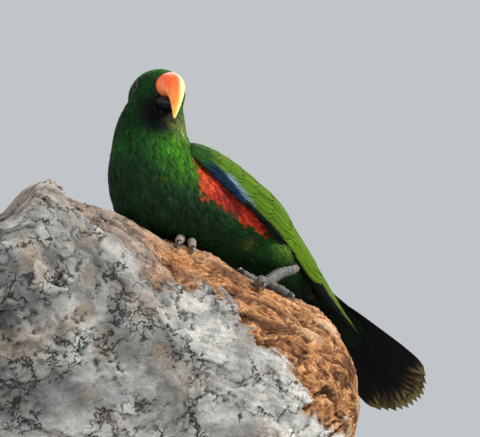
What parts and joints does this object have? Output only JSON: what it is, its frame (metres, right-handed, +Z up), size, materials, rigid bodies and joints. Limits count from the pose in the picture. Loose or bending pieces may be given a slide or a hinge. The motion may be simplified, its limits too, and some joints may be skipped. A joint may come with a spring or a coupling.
{
  "type": "eclectus parrot",
  "caption": "Life-size male eclectus parrot, green with an orange bill, gripping a short cut limb on a display stand and looking over its shoulder.",
  "frame": {"origin": "middle of the stand's flat underside", "axes": "+Z up; the bird's body faces -Y and its left side is towards +X"},
  "size_m": [0.2552, 0.5347, 0.5041],
  "materials": {
    "body_feathers": "soft overlapping contour feathers, bright green",
    "thigh_feathers": "soft green thigh feathers",
    "wing_feathers": "close green wing feathers with a blue edge",
    "tail_feathers": "tail feathers, dark green over black with yellow tips",
    "upper_bill": "satin horn, orange with a yellow tip",
    "lower_bill": "satin black horn",
    "eye": "wet dark eye with a brown-orange ring",
    "scales": "grey scaly skin of the legs and feet",
    "claw": "satin dark horn",
    "bark": "pale papery bark over brown fibrous wood",
    "stand_base": "dark stained wood, satin",
    "stand_rod": "plain steel rod"
  },
  "bodies": {
    "root": {"head": "body_feathers", "neck": "body_feathers", "torso": "body_feathers", "upper_bill": "upper_bill", "lower_bill": "lower_bill", "eye_left": "eye", "eye_right": "eye", "wing_left": "wing_feathers", "wing_right": "wing_feathers", "tail": "tail_feathers", "thigh_left": "thigh_feathers", "thigh_right": "thigh_feathers", "shank_left": "scales", "shank_right": "scales", "foot_left": "scales", "foot_right": "scales", "claw_left_front_outer": "claw", "claw_left_front_inner": "claw", "claw_left_back_outer": "claw", "claw_left_back_inner": "claw", "claw_right_front_outer": "claw", "claw_right_front_inner": "claw", "claw_right_back_outer": "claw", "claw_right_back_inner": "claw", "perch_limb": "bark", "stand_base": "stand_base", "stand_rod_1": "stand_rod", "stand_rod_2": "stand_rod"}
  },
  "joints": []
}
